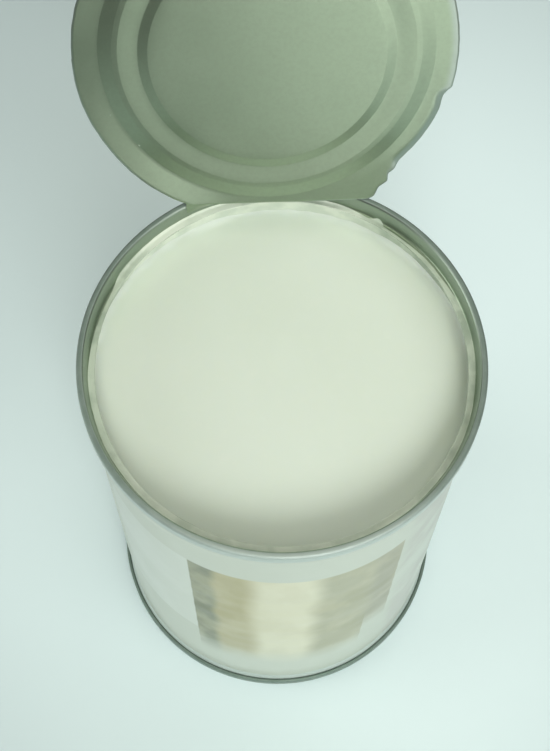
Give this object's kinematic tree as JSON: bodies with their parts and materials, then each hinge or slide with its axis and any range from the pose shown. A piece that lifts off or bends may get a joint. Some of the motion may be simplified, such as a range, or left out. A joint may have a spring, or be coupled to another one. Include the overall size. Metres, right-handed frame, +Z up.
{
  "type": "opened can of coconut milk",
  "caption": "Opened food tin filled with coconut milk; the cut lid with pressed rings stands open on a bent strip of metal, and a paper label covers the side.",
  "frame": {"origin": "centre of the base, on the plane that the bottom seam stands on", "axes": "+Z up along the can's axis, +Y towards the fold that carries the lid, +X along the fold line"},
  "size_m": [0.0762, 0.0999, 0.173],
  "materials": {
    "tinplate": "satin bare tinplate",
    "lacquered_tinplate": "satin grey-green lacquer",
    "coconut_milk": "smooth opaque creamy liquid",
    "printed_paper": "satin printed paper"
  },
  "bodies": {
    "can": {"can_body": "tinplate", "bottom_end": "tinplate", "top_rim": "lacquered_tinplate", "coconut_milk": "coconut_milk", "paper_label": "printed_paper"},
    "lid": {"lid_panel": "lacquered_tinplate"}
  },
  "joints": [
    {"name": "lid_fold", "type": "hinge", "parent": "can", "child": "lid", "pos_m": [0, 0.0325, 0.1132], "axis": [1, 0, 0], "range_deg": [-48, 117.5]}
  ]
}
